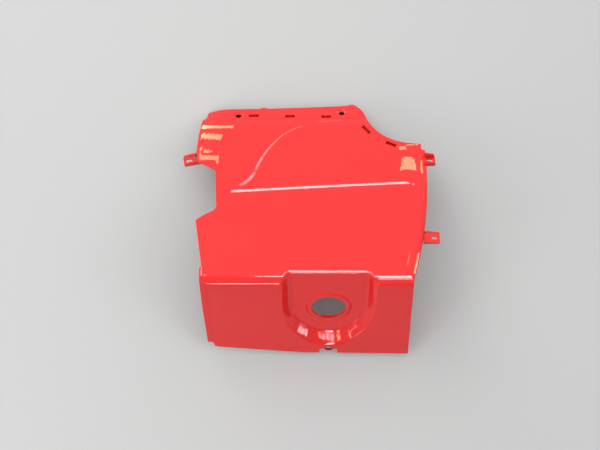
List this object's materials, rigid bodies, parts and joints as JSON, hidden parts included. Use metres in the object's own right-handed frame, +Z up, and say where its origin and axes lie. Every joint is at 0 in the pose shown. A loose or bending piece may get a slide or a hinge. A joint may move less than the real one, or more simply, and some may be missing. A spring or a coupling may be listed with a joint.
{
  "type": "scooter side panel",
  "caption": "Moulded gloss plastic body panel, folded into a front wall with a pocket and round opening, with lugs, hooks and clip slots for fitting.",
  "frame": {"origin": "on the floor the panel rests on, below the middle of its bounding box", "axes": "+X across the panel towards its right flank, +Y away from the front wall towards the top flange, +Z up"},
  "size_m": [0.3664, 0.3652, 0.1438],
  "materials": {
    "red_plastic": "gloss"
  },
  "bodies": {
    "root": {"side_panel": "red_plastic"}
  },
  "joints": []
}
